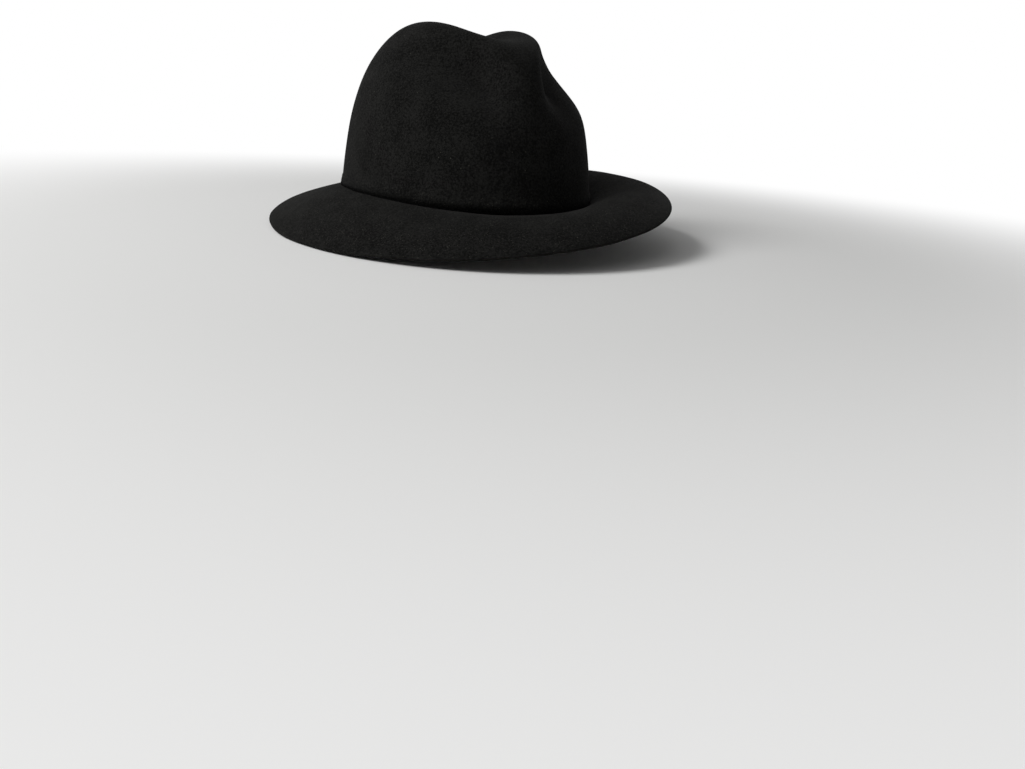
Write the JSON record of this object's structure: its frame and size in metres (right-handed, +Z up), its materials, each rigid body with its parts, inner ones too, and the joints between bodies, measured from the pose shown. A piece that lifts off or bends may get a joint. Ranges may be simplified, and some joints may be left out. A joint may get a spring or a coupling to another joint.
{
  "type": "felt hat",
  "caption": "Soft black felt hat with a centre crease, two front pinches and a wide brim, with a leather sweatband and a satin lining inside; worn on the head.",
  "frame": {"origin": "centre of the head opening, at the mean height of the break where the crown meets the brim", "axes": "+Z up out of the crown, -Y the front of the hat, +X the wearer's left, which is the side whose brim is turned up"},
  "size_m": [0.283, 0.3203, 0.1381],
  "materials": {
    "felt": "matt brushed wool felt, black",
    "leather": "smooth brown sweatband leather",
    "thread": "twisted sewing thread",
    "reed_plastic": "drawn plastic",
    "sleeve_metal": "drawn tube",
    "cloth_tape": "glazed cotton tape",
    "bow_ribbon": "ribbed ribbon",
    "label_cloth": "bare woven label",
    "lining_satin": "satin",
    "piping_satin": "satin over cord"
  },
  "bodies": {
    "root": {"felt_body": "felt", "sweatband": "leather", "sweatband_stitching": "thread", "sweatband_reed": "reed_plastic", "reed_sleeve": "sleeve_metal", "reed_tape": "cloth_tape", "back_seam_tape": "cloth_tape", "back_seam_stitching": "thread", "bow_loops": "bow_ribbon", "bow_knot": "bow_ribbon", "size_label": "label_cloth", "lining_side": "lining_satin", "lining_tip": "lining_satin", "lining_piping": "piping_satin"}
  },
  "joints": []
}
